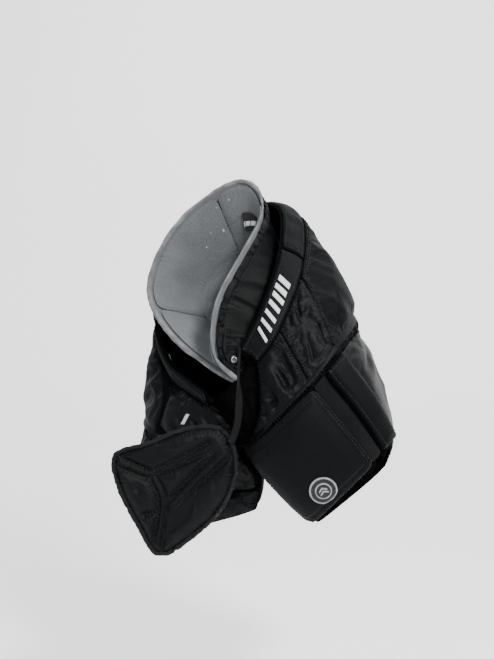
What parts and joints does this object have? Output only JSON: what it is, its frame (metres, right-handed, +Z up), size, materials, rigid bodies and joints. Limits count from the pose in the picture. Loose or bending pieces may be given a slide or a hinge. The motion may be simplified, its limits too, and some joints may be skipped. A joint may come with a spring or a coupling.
{
  "type": "goalkeeper hockey pants",
  "caption": "Padded ice-hockey goalkeeper's pants hung obliquely by the back waist, with floating inner belt, flexing legs, thigh block and hinged quilted flap.",
  "frame": {"origin": "the point of the back waist edge that a hanger grips", "axes": "+Z up as the pants hang; the front faces -Y; the wearer's left leg is at +X"},
  "size_m": [0.4445, 0.3025, 0.5998],
  "materials": {
    "satin_nylon": "black satin-faced woven nylon with a soft cool sheen",
    "matte_shell": "black matte heavy woven nylon over foam",
    "padded_band": "black quilted nylon over dense foam",
    "stretch_knit": "black matte stretch knit",
    "grey_liner": "mid-grey brushed polyester liner",
    "grey_binding": "light grey rolled edge binding",
    "webbing": "black woven webbing",
    "loop_pile": "black hook-and-loop pile",
    "stiff_plastic": "black moulded polyethylene sheet",
    "metal": "nickel-plated snap and brace buttons",
    "label_cloth": "woven label cloth",
    "emblem": "silver-grey embroidered patch"
  },
  "bodies": {
    "hips": {"left_waistband_front": "padded_band", "left_waistband_back": "padded_band", "left_front_panel": "satin_nylon", "left_front_yoke": "satin_nylon", "left_hip_pad": "matte_shell", "left_seat_panel": "satin_nylon", "left_flex_cuff": "satin_nylon", "right_waistband_front": "padded_band", "right_waistband_back": "padded_band", "right_front_panel": "satin_nylon", "right_hip_pad": "matte_shell", "right_seat_panel": "satin_nylon", "right_flex_cuff": "satin_nylon", "fly_gusset": "stretch_knit", "crotch_gusset": "stretch_knit", "inner_belt_cover": "satin_nylon", "inner_rim_binding": "grey_binding", "spine_pad": "grey_liner", "tail_pad": "grey_liner", "right_kidney_pad": "grey_liner", "right_hip_liner_pad": "grey_liner", "right_front_liner_pad": "grey_liner", "left_kidney_pad": "grey_liner", "belt_label": "label_cloth", "size_tag": "label_cloth", "front_tongue": "satin_nylon", "tongue_snap": "metal", "brace_button_front_left": "metal", "brace_button_side_left": "metal", "brace_button_front_right": "metal", "brace_button_side_right": "metal", "fly_strap": "webbing"},
    "left_leg": {"left_thigh_block": "matte_shell", "left_thigh_plate": "stiff_plastic", "left_channel_web": "webbing", "left_side_block": "matte_shell", "left_side_panel": "satin_nylon", "left_rear_panel": "matte_shell", "left_inner_panel": "stretch_knit", "left_leg_liner": "stretch_knit", "left_emblem": "emblem"},
    "right_leg": {"right_thigh_panel": "satin_nylon", "right_side_panel": "matte_shell", "right_rear_panel": "matte_shell", "right_inner_panel": "stretch_knit", "right_hem_block": "padded_band", "right_leg_liner": "stretch_knit"},
    "flap": {"flap_pad": "satin_nylon", "flap_shell": "matte_shell", "flap_loop_upper": "loop_pile", "flap_loop_lower": "loop_pile"}
  },
  "joints": [
    {"name": "left_leg_swing", "type": "hinge", "parent": "hips", "child": "left_leg", "pos_m": [0.104, -0.125, -0.304], "axis": [0.7035, 0.1005, 0.7035], "range_deg": [-4, 12], "deforming": ["left_flex_cuff", "crotch_gusset"]},
    {"name": "right_leg_swing", "type": "hinge", "parent": "hips", "child": "right_leg", "pos_m": [-0.09, -0.075, -0.395], "axis": [0.9794, -0.2019, 0], "range_deg": [-2, 10], "deforming": ["right_flex_cuff"]},
    {"name": "flap_hinge", "type": "hinge", "parent": "right_leg", "child": "flap", "pos_m": [-0.0205, -0.21, -0.3935], "axis": [-0.6899, 0, 0.7239], "range_deg": [0, 25]}
  ]
}
